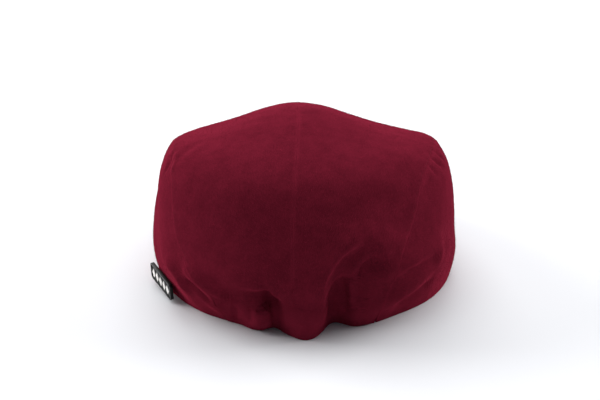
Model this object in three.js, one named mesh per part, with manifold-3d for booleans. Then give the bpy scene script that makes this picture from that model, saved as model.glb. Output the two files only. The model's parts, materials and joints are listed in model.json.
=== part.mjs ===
// A wool flat cap, resting on its hem and its peak. Two half top panels meet along the centre seam,
// a side panel closes each flank, an elasticated band gathers the back, a covered peak carries the
// front edge of the crown, and a small metal badge sits on the left flank.
// Millimetres, +Z up. The peak points to -Y and the wearer's left is +X.
import * as THREE from "three";
import Module from "manifold-3d";
import { mergeVertices } from "three/addons/utils/BufferGeometryUtils.js";

// Cloth and seams
const CLOTH = 2.2; // wool cloth with its backing
const SEAM_GAP = 0.38; // clear width between two panels along a seam

// The crown is described around an upright axis through its highest point. An angle is counted from
// the middle of the back towards the wearer's left, and a rise runs from 0 at the hem to 1 at the top.
const APEX_UP = 123;
const APEX_LEAN = 5; // how far the top leans to the wearer's left

// One row for each upright section of the crown, from the back (0) over the side (90) to the front
// (180). "Out" is the distance from the axis and "Up" the height, at the hem, at the widest point of
// the belly, at the crown's edge and halfway up the slope of the top.
const CROWN_SECTIONS = [
  { angle: 0, hemOut: 88, bellyOut: 106, bellyUp: 46, edgeOut: 88, edgeUp: 97, topOut: 45, topUp: 117 },
  { angle: 30, hemOut: 87, bellyOut: 105, bellyUp: 44, edgeOut: 92, edgeUp: 97, topOut: 49, topUp: 115 },
  { angle: 60, hemOut: 93, bellyOut: 104, bellyUp: 38, edgeOut: 96, edgeUp: 97, topOut: 52, topUp: 113 },
  { angle: 90, hemOut: 102, bellyOut: 106.5, bellyUp: 30, edgeOut: 94, edgeUp: 93, topOut: 52, topUp: 109 },
  { angle: 120, hemOut: 112, bellyOut: 115, bellyUp: 28, edgeOut: 101, edgeUp: 80, topOut: 54, topUp: 106 },
  { angle: 150, hemOut: 136, bellyOut: 140, bellyUp: 36, edgeOut: 120, edgeUp: 66, topOut: 64, topUp: 102 },
  { angle: 180, hemOut: 150, bellyOut: 154, bellyUp: 42, edgeOut: 132, edgeUp: 64, topOut: 72, topUp: 100 },
];

// Where the elastic draws the hem in or lets it stand out. "width" is in degrees, "upTo" is the rise
// at which the effect has died away, and "lift" raises the hem off the table.
const GATHERS = [
  { name: "tab", angle: -2, width: 6.5, out: 9, lift: 0, upTo: 0.2 },
  { name: "right pinch", angle: -15.5, width: 6, out: -9, lift: 1, upTo: 0.3 },
  { name: "left pinch", angle: 12, width: 3.5, out: -2, lift: 1, upTo: 0.24 },
  { name: "left lobe", angle: 19, width: 5.5, out: 3, lift: 0, upTo: 0.2 },
  { name: "right flank", angle: -49, width: 14, out: -2, lift: 0, upTo: 0.24 },
];

// Ridges (a positive height) and valleys (a negative one) in the cloth, each along a line from
// "from" by "via" to "to". Angles are in degrees, widths and heights in millimetres.
const FOLDS = [
  { name: "band tuck", from: [30, 0.14], via: [12, 0.14], to: [-8, 0.15], width: 8, height: -3.5 },
  { name: "right drape", from: [-27, 0.4], via: [-12.5, 0.32], to: [-7.5, 0.12], width: 8, height: 7 },
  { name: "right hollow", from: [-22, 0.33], via: [-14, 0.25], to: [-15.5, 0.06], width: 7, height: -8 },
  { name: "right fan", from: [-36, 0.345], via: [-25, 0.33], to: [-18, 0.27], width: 6, height: 5 },
  { name: "left lip", from: [25, 0.245], via: [15, 0.23], to: [6.5, 0.205], width: 7, height: 5 },
  { name: "left hollow", from: [20, 0.175], via: [12.5, 0.155], to: [11, 0.04], width: 5.5, height: -8 },
  { name: "left drape", from: [64, 0.27], via: [54, 0.17], to: [45, 0.06], width: 9, height: 3 },
  { name: "left fan", from: [47, 0.25], via: [40, 0.16], to: [33, 0.06], width: 7, height: 3 },
  { name: "right flank fold", from: [-33, 0.26], via: [-44, 0.285], to: [-62, 0.33], width: 8, height: 4 },
  { name: "right flank sag", from: [-33, 0.12], via: [-45, 0.18], to: [-68, 0.24], width: 8, height: 4 },
  { name: "left shoulder", from: [102, 0.46], via: [88, 0.41], to: [72, 0.29], width: 14, height: -3.5 },
  { name: "right shoulder", from: [-110, 0.6], via: [-88, 0.56], to: [-74, 0.46], width: 16, height: 2.5 },
  { name: "right belly", from: [-108, 0.3], via: [-86, 0.29], to: [-66, 0.3], width: 15, height: -2 },
  { name: "right dent", from: [-155, 0.86], via: [-137, 0.75], to: [-112, 0.66], width: 20, height: -2.5 },
];
const FOLD_LENGTHS = 16; // straight lengths that stand for one fold line
const FOLD_END = 0.12; // share of a half wave that is cut off at each end of a fold

// The peak: a curved board between the head opening and a front edge that stands past the crown.
const PEAK_THICK = 5;
const PEAK_TIP_ANGLE = 108; // where each end of the peak runs out under the side hem
const PEAK_ARCH = 19; // height of the front edge's underside at the middle
const PEAK_PITCH = 0.18; // rise from the front edge towards the head, per millimetre
const PEAK_LEDGE = 12; // how far the front edge stands past the crown
const PEAK_ROUNDING = 1.25; // taken off each face along the front edge
const HEM_SEAT = 3.3; // how far inside its outer face the hem lies on the peak
const PEAK_SECTIONS = [
  { angle: 108, headOut: 100, ledge: 0.05 },
  { angle: 130, headOut: 97, ledge: 0.55 },
  { angle: 155, headOut: 98, ledge: 0.9 },
  { angle: 180, headOut: 98, ledge: 1 },
];
const HEM_STEP_ANGLES = [98, 109]; // the hem climbs from the table onto the peak between these

// The seams, each a line of angles and rises. The centre seam runs from the band over the top to the
// peak. The side seam leaves the hem beside the gathers, climbs to the crown's edge and runs forward.
const BAND_RISE = 0.14; // top edge of the elasticated band
const CENTRE_SEAM = [
  { angle: 2.5, rise: BAND_RISE },
  { angle: 2.5, rise: 0.4 },
  { angle: 1.5, rise: 0.75 },
  { angle: 0, rise: 1 },
  { angle: 180, rise: 0.5 },
  { angle: 180, rise: 0 },
];
const SIDE_SEAM = [
  { left: 33.5, right: 33, rise: 0.01 },
  { left: 35, right: 32, rise: BAND_RISE },
  { left: 42, right: 33.5, rise: 0.23 },
  { left: 50, right: 37, rise: 0.31 },
  { left: 54, right: 44, rise: 0.39 },
  { left: 59, right: 51, rise: 0.475 },
  { left: 72, right: 67, rise: 0.535 },
  { left: 92, right: 92, rise: 0.54 },
  { left: 112, right: 112, rise: 0.5 },
  { left: 130, right: 130, rise: 0.38 },
  { left: 142, right: 142, rise: 0.19 },
  { left: 149, right: 149, rise: 0.01 },
];
const BAND_ROW = 1; // the row of SIDE_SEAM where the band's top edge meets the side seam

// The badge, a dark metal plaque with a raised rim and a row of raised lozenges.
const BADGE = { length: 36, height: 12.5, thick: 1.4, relief: 0.8, rim: 1.3, corner: 2.5 };
const BADGE_PLACE = { back: [60, 0.08], front: [80, 0.115], above: [70, 0.2] }; // spots on the flank
const BADGE_LEAN = 15; // degrees that the badge leans back from the slope of the cloth
const LOZENGE = { count: 5, pitch: 6.2, width: 5, height: 7.2 };
const RELIEF_ROOT = 0.4; // how deep the raised metal is rooted in the plate
const SEAT_SEARCH = { past: 5, riseTo: 0.25, steps: 60, margin: 1 }; // cloth looked over behind it

// Facets along and across each piece
const PANEL_STEPS = 36;
const PANEL_LAYERS = 20;
const BAND_LAYERS = 5;
const FLANK_LAYERS = 8;
const PEAK_STEPS = 32;
const PEAK_LAYERS = 6;
const CORNER_FACETS = 4; // on each rounded corner of the badge

const radians = THREE.MathUtils.degToRad;
const { lerp, smoothstep, clamp } = THREE.MathUtils;

// Smooth columns of a table, read at any angle. The table is mirrored past its first and last row, so
// the columns are level there.
function columns(rows, names) {
  const [first, last] = [rows[0].angle, rows[rows.length - 1].angle];
  const mirrored = (row, end) => ({ ...row, angle: 2 * end - row.angle });
  const all = [mirrored(rows[1], first), ...rows, mirrored(rows[rows.length - 2], last)];
  const angles = all.map((row) => row.angle);
  const values = all.flatMap((row) => names.map((name) => row[name]));
  const spline = new THREE.CubicInterpolant(angles, values, names.length);
  return (angle) => {
    const found = spline.evaluate(clamp(Math.abs(angle), first, last));
    return Object.fromEntries(names.map((name, i) => [name, found[i]]));
  };
}

const crownAt = columns(CROWN_SECTIONS, Object.keys(CROWN_SECTIONS[0]).slice(1));
const peakAt = columns(PEAK_SECTIONS, ["headOut", "ledge"]);

const peakEdge = (angle) => crownAt(angle).hemOut + PEAK_LEDGE * peakAt(angle).ledge;

// Height of the peak's underside. It arches up towards the middle and rises towards the head.
function peakUnderside(angle, out) {
  const across = (Math.abs(angle) - PEAK_TIP_ANGLE) / (180 - PEAK_TIP_ANGLE);
  const arch = PEAK_ARCH * Math.sin((Math.PI / 2) * Math.max(0, across)) ** 2;
  return arch + PEAK_PITCH * Math.max(0, peakEdge(angle) - out);
}

// Height of the hem: on the table, or on the peak where it is highest under the cloth.
function hemUp(angle) {
  const onPeak = smoothstep(Math.abs(angle), ...HEM_STEP_ANGLES);
  const innerOut = crownAt(angle).hemOut - HEM_SEAT;
  return onPeak * (peakUnderside(angle, innerOut) + PEAK_THICK + SEAM_GAP);
}

function around(angle, out, up) {
  const turn = radians(angle);
  return new THREE.Vector3(out * Math.sin(turn), out * Math.cos(turn), up);
}

// Panels and folds are laid out on a flat disc: the apex in the middle, the hem on the rim, the back
// at +Y.
function onDisc(angle, rise) {
  const turn = radians(angle);
  return new THREE.Vector2((1 - rise) * Math.sin(turn), (1 - rise) * Math.cos(turn));
}

// How far the elastic moves the cloth outwards and upwards at an angle and a rise.
function gathered(angle, rise) {
  const total = { out: 0, lift: 0 };
  for (const gather of GATHERS) {
    const across = Math.exp(-(((angle - gather.angle) / gather.width) ** 2));
    const share = across * (1 - smoothstep(rise, 0, gather.upTo));
    total.out += gather.out * share;
    total.lift += gather.lift * share;
  }
  return total;
}

// The smooth crown with its gathers, before the folds.
function smoothCrown(angle, rise) {
  const at = crownAt(angle);
  const profile = new THREE.SplineCurve([
    new THREE.Vector2(at.hemOut, hemUp(angle)),
    new THREE.Vector2(at.bellyOut, at.bellyUp),
    new THREE.Vector2(at.edgeOut, at.edgeUp),
    new THREE.Vector2(at.topOut, at.topUp),
    new THREE.Vector2(0, APEX_UP),
    new THREE.Vector2(-at.topOut, at.topUp),
  ]);
  const apexShare = 4 / 5; // the last point only levels the curve at the apex
  const point = profile.getPoint(rise * apexShare);
  const shift = gathered(angle, rise);
  const spot = around(angle, point.x + shift.out, point.y + shift.lift);
  spot.x += APEX_LEAN * rise ** 3;
  return spot;
}

const fromDisc = (spot) => {
  const angle = THREE.MathUtils.radToDeg(Math.atan2(spot.x, spot.y));
  return [angle, clamp(1 - spot.length(), 0, 1)];
};

// Each fold as short straight lengths on the smooth crown.
const foldLines = FOLDS.map((fold) => {
  const line = new THREE.SplineCurve([fold.from, fold.via, fold.to].map((end) => onDisc(...end)));
  const points = line.getPoints(FOLD_LENGTHS).map((spot) => smoothCrown(...fromDisc(spot)));
  const lengths = points.slice(1).map((point, i) => new THREE.Line3(points[i], point));
  return { ...fold, lengths };
});

// Height of all folds together at a spot of the smooth crown. Each dies away at its two ends.
function foldHeight(spot) {
  let total = 0;
  const nearest = new THREE.Vector3();
  for (const { lengths, width, height } of foldLines) {
    let best = { distance: Infinity, along: 0 };
    lengths.forEach((length, i) => {
      const share = length.closestPointToPointParameter(spot, true);
      const distance = length.at(share, nearest).distanceTo(spot);
      if (distance < best.distance) best = { distance, along: (i + share) / lengths.length };
    });
    const taper = Math.sin(Math.PI * lerp(FOLD_END, 1 - FOLD_END, best.along));
    total += height * taper * Math.exp(-((best.distance / width) ** 2));
  }
  return total;
}

// The outer face of the crown at an angle and a rise.
function crown(angle, rise) {
  const step = 0.5;
  const climb = 0.004;
  const spot = smoothCrown(angle, rise);
  const across = smoothCrown(angle + step, rise).sub(smoothCrown(angle - step, rise));
  const upwards = smoothCrown(angle, Math.min(rise + climb, 1)).sub(
    smoothCrown(angle, Math.max(rise - climb, 0)),
  );
  const outwards = upwards.cross(across).normalize();
  return spot.addScaledVector(outwards, foldHeight(spot));
}

const crownFromDisc = (spot) => crown(...fromDisc(spot));

// A four-sided patch between two long edges and two short ones, all functions from 0 to 1.
function patch(near, far, start, end) {
  const corners = [near(0), near(1), far(0), far(1)];
  const mix = (s, t, key) =>
    lerp(near(s)[key], far(s)[key], t) +
    lerp(start(t)[key], end(t)[key], s) -
    lerp(lerp(corners[0][key], corners[1][key], s), lerp(corners[2][key], corners[3][key], s), t);
  return (s, t) => new THREE.Vector2(mix(s, t, "x"), mix(s, t, "y"));
}

// Joins two grids of the same layout into one closed body.
function closedGrid(outer, inner, steps, layers, flip) {
  const stride = layers + 1;
  const layer = stride * (steps + 1);
  const index = [];
  const quad = (a, b, c, d) => (flip ? index.push(a, c, b, a, d, c) : index.push(a, b, c, a, c, d));
  const id = (i, j) => i * stride + j;
  for (let i = 0; i < steps; i++) {
    for (let j = 0; j < layers; j++) {
      quad(layer + id(i, j), layer + id(i, j + 1), layer + id(i + 1, j + 1), layer + id(i + 1, j));
      quad(id(i, j), id(i + 1, j), id(i + 1, j + 1), id(i, j + 1));
    }
    quad(id(i, 0), layer + id(i, 0), layer + id(i + 1, 0), id(i + 1, 0));
    quad(id(i, layers), id(i + 1, layers), layer + id(i + 1, layers), layer + id(i, layers));
  }
  for (let j = 0; j < layers; j++) {
    quad(id(0, j), id(0, j + 1), layer + id(0, j + 1), layer + id(0, j));
    quad(id(steps, j), layer + id(steps, j), layer + id(steps, j + 1), id(steps, j + 1));
  }
  const geometry = new THREE.BufferGeometry();
  geometry.setAttribute("position", new THREE.Float32BufferAttribute([...outer, ...inner], 3));
  geometry.setIndex(index);
  return geometry;
}

// A cloth wall on a surface of two shares: a grid on its outer face, the same grid a cloth's thickness
// inside it, and the edges between them. Seamed edges draw back by half a gap, and a hem stays down.
function clothWall(surface, stations, layers, { flip = false, hem = false } = {}) {
  const nudge = 1e-3;
  const directions = (s, t) => {
    const [before, after] = [Math.max(s - nudge, 0), Math.min(s + nudge, 1)];
    const [below, above] = [Math.max(t - nudge, 0), Math.min(t + nudge, 1)];
    const along = surface(after, t).sub(surface(before, t)).divideScalar(after - before);
    const across = surface(s, above).sub(surface(s, below)).divideScalar(above - below);
    return { along, across, outwards: along.clone().cross(across) };
  };
  // shares that draw an edge back by half a gap, square to the edge
  const acrossShare = (s, t) => {
    const { along, outwards } = directions(s, t);
    return ((SEAM_GAP / 2) * along.length()) / outwards.length();
  };
  const alongShare = (s, t) => {
    const { across, outwards } = directions(s, t);
    return ((SEAM_GAP / 2) * across.length()) / outwards.length();
  };
  const outer = [];
  const inner = [];
  for (const station of stations) {
    const [low, high] = [hem ? 0 : acrossShare(station, 0), acrossShare(station, 1)];
    for (let j = 0; j <= layers; j++) {
      const height = j / layers;
      const s = lerp(alongShare(0, height), 1 - alongShare(1, height), station);
      const t = lerp(low, 1 - high, height);
      const outwards = directions(s, t).outwards.normalize().multiplyScalar(flip ? -1 : 1);
      const point = surface(s, t);
      const under = point.clone().addScaledVector(outwards, -CLOTH);
      point.z = Math.max(0, point.z);
      under.z = hem && j === 0 ? point.z : Math.max(0, under.z);
      outer.push(...point);
      inner.push(...under);
    }
  }
  return closedGrid(outer, inner, stations.length - 1, layers, flip);
}

const evenly = (steps) => Array.from({ length: steps + 1 }, (_, i) => i / steps);

const lineOnDisc = (rows) => new THREE.SplineCurve(rows.map((row) => onDisc(row.angle, row.rise)));

const sideSeam = (side) =>
  SIDE_SEAM.map((row) => ({ angle: side > 0 ? row.left : -row.right, rise: row.rise }));

const bandShare = BAND_ROW / (SIDE_SEAM.length - 1); // share of the side seam below the band's top edge

// Half of the crown's top, from the band at the back to the peak at the front.
function topPanel(side) {
  const rows = sideSeam(side);
  const seam = lineOnDisc(rows);
  const middle = lineOnDisc(CENTRE_SEAM);
  const corner = rows[BAND_ROW];
  const frontEnd = rows[rows.length - 1];
  const layout = patch(
    (s) => middle.getPoint(s),
    (s) => seam.getPoint(lerp(bandShare, 1, s)),
    (t) => onDisc(lerp(CENTRE_SEAM[0].angle, corner.angle, t), BAND_RISE),
    (t) => onDisc(lerp(side * 180, frontEnd.angle, t), frontEnd.rise * t),
  );
  return clothWall((s, t) => crownFromDisc(layout(s, t)), evenly(PANEL_STEPS), PANEL_LAYERS, {
    flip: side < 0,
  });
}

// A flank, from the hem up to the side seam. The left one runs forwards and the right one backwards.
function sidePanel(side) {
  const rows = sideSeam(side);
  const seam = lineOnDisc(rows);
  const surface = (s, t) => {
    const forwards = side > 0 ? s : 1 - s;
    const hem = onDisc(lerp(rows[0].angle, rows[rows.length - 1].angle, forwards), 0);
    return crownFromDisc(hem.lerp(seam.getPoint(forwards), t));
  };
  const belowBand = evenly(BAND_LAYERS).slice(0, -1).map((share) => share * bandShare);
  const aboveBand = evenly(PANEL_STEPS).map((share) => lerp(bandShare, 1, share));
  const forwards = [...belowBand, ...aboveBand];
  const stations = side > 0 ? forwards : forwards.map((share) => 1 - share).reverse();
  return clothWall(surface, stations, FLANK_LAYERS, { flip: true, hem: true });
}

// The band between the two side seams, below both top panels.
function backBand() {
  const seams = [-1, 1].map((side) => lineOnDisc(sideSeam(side)));
  const middle = CENTRE_SEAM[0].angle;
  const surface = (s, t) => {
    const [right, left] = seams.map((seam) => fromDisc(seam.getPoint(bandShare * t))[0]);
    const angle = s < 0.5 ? lerp(right, middle, 2 * s) : lerp(middle, left, 2 * s - 1);
    return crown(angle, BAND_RISE * t);
  };
  return clothWall(surface, evenly(2 * PANEL_LAYERS), BAND_LAYERS, { flip: true, hem: true });
}

// The peak, a curved board with a thinner front edge.
function peakBoard() {
  const top = [];
  const under = [];
  for (const share of evenly(PEAK_STEPS)) {
    const angle = lerp(PEAK_TIP_ANGLE, 360 - PEAK_TIP_ANGLE, share);
    const turned = angle > 180 ? angle - 360 : angle;
    for (let j = 0; j <= PEAK_LAYERS; j++) {
      const out = lerp(peakEdge(turned), peakAt(turned).headOut, j / PEAK_LAYERS);
      const rounding = j === 0 ? PEAK_ROUNDING : 0;
      const low = peakUnderside(turned, out);
      under.push(...around(turned, out, low + rounding));
      top.push(...around(turned, out, low + PEAK_THICK - rounding));
    }
  }
  return closedGrid(top, under, PEAK_STEPS, PEAK_LAYERS, true);
}

function roundedPlate(length, height, corner) {
  const [x, y] = [length / 2 - corner, height / 2 - corner];
  const shape = new THREE.Shape();
  shape.absarc(x, y, corner, 0, Math.PI / 2);
  shape.absarc(-x, y, corner, Math.PI / 2, Math.PI);
  shape.absarc(-x, -y, corner, Math.PI, 1.5 * Math.PI);
  shape.absarc(x, -y, corner, 1.5 * Math.PI, 2 * Math.PI);
  shape.closePath();
  return shape;
}

function lozenge(width, height, middle) {
  const corners = [
    new THREE.Vector2(middle + width / 2, 0),
    new THREE.Vector2(middle, height / 2),
    new THREE.Vector2(middle - width / 2, 0),
    new THREE.Vector2(middle, -height / 2),
  ];
  return new THREE.Shape(corners);
}

// The badge in its own frame: length along x, height along y, its back on z = 0.
async function badgeBody() {
  const wasm = await Module();
  wasm.setup();
  const mergeWithin = 1e-4;
  const solid = (shape, depth, from) => {
    const options = { depth, bevelEnabled: false, curveSegments: CORNER_FACETS };
    const geometry = new THREE.ExtrudeGeometry(shape, options).translate(0, 0, from);
    geometry.deleteAttribute("normal").deleteAttribute("uv");
    const merged = mergeVertices(geometry, mergeWithin);
    const vertProperties = Float32Array.from(merged.attributes.position.array);
    const triVerts = Uint32Array.from(merged.index.array);
    return new wasm.Manifold(new wasm.Mesh({ numProp: 3, vertProperties, triVerts }));
  };
  const raised = (outline) => solid(outline, BADGE.relief + RELIEF_ROOT, BADGE.thick - RELIEF_ROOT);
  const { length, height, corner, rim } = BADGE;
  const border = roundedPlate(length, height, corner);
  border.holes.push(roundedPlate(length - 2 * rim, height - 2 * rim, corner - rim));
  let body = solid(roundedPlate(length, height, corner), BADGE.thick, 0).add(raised(border));
  for (let i = 0; i < LOZENGE.count; i++) {
    const middle = LOZENGE.pitch * (i - (LOZENGE.count - 1) / 2);
    body = body.add(raised(lozenge(LOZENGE.width, LOZENGE.height, middle)));
  }
  const { vertProperties, triVerts } = body.getMesh();
  const geometry = new THREE.BufferGeometry();
  geometry.setAttribute("position", new THREE.BufferAttribute(vertProperties, 3));
  geometry.setIndex(new THREE.BufferAttribute(triVerts, 1));
  return geometry;
}

// Lays the badge on the flank, a gap clear of the cloth's highest spot behind it.
function placeBadge(mesh) {
  const [back, front, above] = [BADGE_PLACE.back, BADGE_PLACE.front, BADGE_PLACE.above].map((spot) =>
    crown(...spot),
  );
  const middle = back.clone().lerp(front, 0.5);
  const along = back.clone().sub(front).normalize();
  const square = along.clone().cross(above.sub(middle)).normalize();
  const out = square.applyAxisAngle(along, radians(-BADGE_LEAN));
  const basis = new THREE.Matrix4().makeBasis(along, out.clone().cross(along), out);
  const toBadge = basis.clone().setPosition(middle).invert();
  const { past, riseTo, steps, margin } = SEAT_SEARCH;
  const reach = new THREE.Vector2(BADGE.length / 2 + margin, BADGE.height / 2 + margin);
  let seat = 0;
  for (const turn of evenly(steps)) {
    const angle = lerp(BADGE_PLACE.back[0] - past, BADGE_PLACE.front[0] + past, turn);
    for (const climb of evenly(steps)) {
      const spot = crown(angle, riseTo * climb).applyMatrix4(toBadge);
      const isBehind = Math.abs(spot.x) < reach.x && Math.abs(spot.y) < reach.y;
      if (isBehind) seat = Math.max(seat, spot.z);
    }
  }
  mesh.quaternion.setFromRotationMatrix(basis);
  mesh.position.copy(middle).addScaledVector(out, seat + SEAM_GAP);
  return mesh;
}

const WOOL = { color: 0x6b1226, roughness: 0.95, metalness: 0 };
const AGED_METAL = { color: 0x4a4846, roughness: 0.4, metalness: 1 };

function named(name, geometry, finish) {
  const mesh = new THREE.Mesh(geometry, new THREE.MeshStandardMaterial(finish));
  mesh.name = name;
  return mesh;
}

const cap = new THREE.Group();
cap.add(
  named("top_panel_left", topPanel(1), WOOL),
  named("top_panel_right", topPanel(-1), WOOL),
  named("side_panel_left", sidePanel(1), WOOL),
  named("side_panel_right", sidePanel(-1), WOOL),
  named("back_band", backBand(), WOOL),
  named("peak", peakBoard(), WOOL),
  placeBadge(named("badge", await badgeBody(), AGED_METAL)),
);

// The origin lies under the middle of the whole cap, on the table.
const middle = new THREE.Box3().setFromObject(cap).getCenter(new THREE.Vector3());
cap.position.set(-middle.x, -middle.y, 0);

export default cap;
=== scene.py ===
import json
import math
import bpy
import numpy as np
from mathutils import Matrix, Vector, noise
from mathutils.bvhtree import BVHTree
from mathutils.kdtree import KDTree

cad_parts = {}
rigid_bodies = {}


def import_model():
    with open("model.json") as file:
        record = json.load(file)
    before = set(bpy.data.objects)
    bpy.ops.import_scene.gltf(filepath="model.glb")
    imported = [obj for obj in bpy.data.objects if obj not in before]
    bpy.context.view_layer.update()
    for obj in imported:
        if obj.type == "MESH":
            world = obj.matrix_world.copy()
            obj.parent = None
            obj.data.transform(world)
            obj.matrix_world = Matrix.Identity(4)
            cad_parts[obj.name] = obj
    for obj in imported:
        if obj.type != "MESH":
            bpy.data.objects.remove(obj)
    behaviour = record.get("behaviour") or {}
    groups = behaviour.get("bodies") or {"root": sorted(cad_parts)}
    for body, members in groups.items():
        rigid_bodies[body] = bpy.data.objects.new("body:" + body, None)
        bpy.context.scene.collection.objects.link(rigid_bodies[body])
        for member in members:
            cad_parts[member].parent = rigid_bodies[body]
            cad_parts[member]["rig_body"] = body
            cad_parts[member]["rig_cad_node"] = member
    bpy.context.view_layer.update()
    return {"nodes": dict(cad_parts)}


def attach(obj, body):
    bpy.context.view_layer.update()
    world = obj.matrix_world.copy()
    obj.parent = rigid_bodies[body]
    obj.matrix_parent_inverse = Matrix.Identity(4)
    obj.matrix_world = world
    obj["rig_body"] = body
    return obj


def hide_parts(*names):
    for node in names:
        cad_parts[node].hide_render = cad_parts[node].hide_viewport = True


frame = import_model()
mm = 0.001
print("frame loaded with", len(frame["nodes"]), "nodes")


# Small helpers for objects and their points

def deselectAll():
    if bpy.context.object and bpy.context.object.mode != "OBJECT":
        bpy.ops.object.mode_set(mode="OBJECT")
    bpy.ops.object.select_all(action="DESELECT")


def makeActive(piece):
    deselectAll()
    piece.select_set(True)
    bpy.context.view_layer.objects.active = piece


def addObject(name, data):
    piece = bpy.data.objects.new(name, data)
    bpy.context.collection.objects.link(piece)
    return piece


def editPiece(piece, parts="FACE", action="DESELECT"):  # opens edit mode with nothing or all selected
    makeActive(piece)
    bpy.ops.object.mode_set(mode="EDIT")
    bpy.ops.mesh.select_mode(type=parts)
    bpy.ops.mesh.select_all(action=action)


def leaveEdit():
    bpy.ops.object.mode_set(mode="OBJECT")


def pickFaces(piece, wanted):  # opens edit mode with the faces selected that pass a test
    editPiece(piece)
    leaveEdit()
    for face in piece.data.polygons:
        face.select = wanted(face)
    bpy.ops.object.mode_set(mode="EDIT")


def applyModifier(piece, kind, **settings):
    makeActive(piece)
    modifier = piece.modifiers.new(kind.lower(), kind)
    for key, value in settings.items():
        setattr(modifier, key, value)
    bpy.ops.object.modifier_apply(modifier=modifier.name)


def smoothByAngle(piece, degrees):
    makeActive(piece)
    bpy.ops.object.shade_smooth_by_angle(angle=math.radians(degrees))


def mergedCopy(nodeName, pieceName):  # a copy of a CAD node, its loose triangles joined
    makeActive(frame["nodes"][nodeName])
    bpy.ops.object.duplicate()
    piece = bpy.context.object
    piece.name = pieceName
    piece.data.name = pieceName
    piece.parent = None
    piece.data.materials.clear()
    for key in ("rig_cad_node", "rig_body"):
        del piece[key]
    editPiece(piece, action="SELECT")
    bpy.ops.mesh.remove_doubles(threshold=0.001 * mm)
    leaveEdit()
    return piece


def readPoints(piece):
    points = np.empty(len(piece.data.vertices) * 3)
    piece.data.vertices.foreach_get("co", points)
    return points.reshape(-1, 3)


def readNormals(piece):
    normals = np.empty(len(piece.data.vertices) * 3)
    piece.data.vertex_normals.foreach_get("vector", normals)
    return normals.reshape(-1, 3)


def writePoints(piece, points):
    piece.data.vertices.foreach_set("co", points.ravel())
    piece.data.update()


def writeMask(piece, name, values):  # a value for each point, for a material to read
    mask = piece.data.attributes.new(name, "FLOAT", "POINT")
    mask.data.foreach_set("value", values.astype(np.float32))


def treeOf(pieces):  # finds places on the faces of several pieces
    corners, faces = [], []
    for piece in pieces:
        first = len(corners)
        corners += [vertex.co.copy() for vertex in piece.data.vertices]
        faces += [[first + index for index in face.vertices] for face in piece.data.polygons]
    return BVHTree.FromPolygons(corners, faces)


def finderOf(points):  # finds the nearest of many points
    finder = KDTree(len(points))
    for index, point in enumerate(points):
        finder.insert(point, index)
    finder.balance()
    return finder


def smoothStep(low, high, value):
    share = np.clip((value - low) / (high - low), 0, 1)
    return share * share * (3 - 2 * share)


def unitRows(rows):
    return rows / np.maximum(np.linalg.norm(rows, axis=1), 1e-9)[:, None]


def dotRows(rows, others):
    return np.einsum("ij,ij->i", rows, others)


def runAlong(line):  # the length of a line up to each of its points
    return np.concatenate([[0], np.cumsum(np.linalg.norm(np.diff(line, axis=0), axis=1))])


def evenLine(line, step):
    run = runAlong(line)
    marks = np.linspace(0, run[-1], max(3, round(run[-1] / step) + 1))
    return np.stack([np.interp(marks, run, line[:, axis]) for axis in range(3)], axis=1)


# The camera stands where the photograph was taken from, behind the cap

photoView = {
    "size": (600, 400),  # pixels
    "sensor": 36.0,  # mm
    "lens": 68.13,  # mm
    "stand": (-18.2, 750.4, 359.1),  # mm
    "aim": (2.2, 49.7, 65.3),  # mm
    "sight": 20,  # m
}


def makeCamera():
    stand = Vector(photoView["stand"]) * mm
    toward = Vector(photoView["aim"]) * mm - stand
    deselectAll()
    bpy.ops.object.camera_add(location=stand, rotation=toward.to_track_quat("-Z", "Y").to_euler())
    made = bpy.context.object
    made.name = "photo_camera"
    made.data.lens = photoView["lens"]
    made.data.sensor_width = photoView["sensor"]
    made.data.clip_end = photoView["sight"]
    bpy.context.scene.camera = made
    bpy.context.view_layer.update()
    return made


camera = makeCamera()
print("camera placed")


# Creases as they run in the photograph, in its pixels. "left" and "right" are the widths in mm on
# either side of the line, walking along it, and "lift" is the height in mm.

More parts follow.
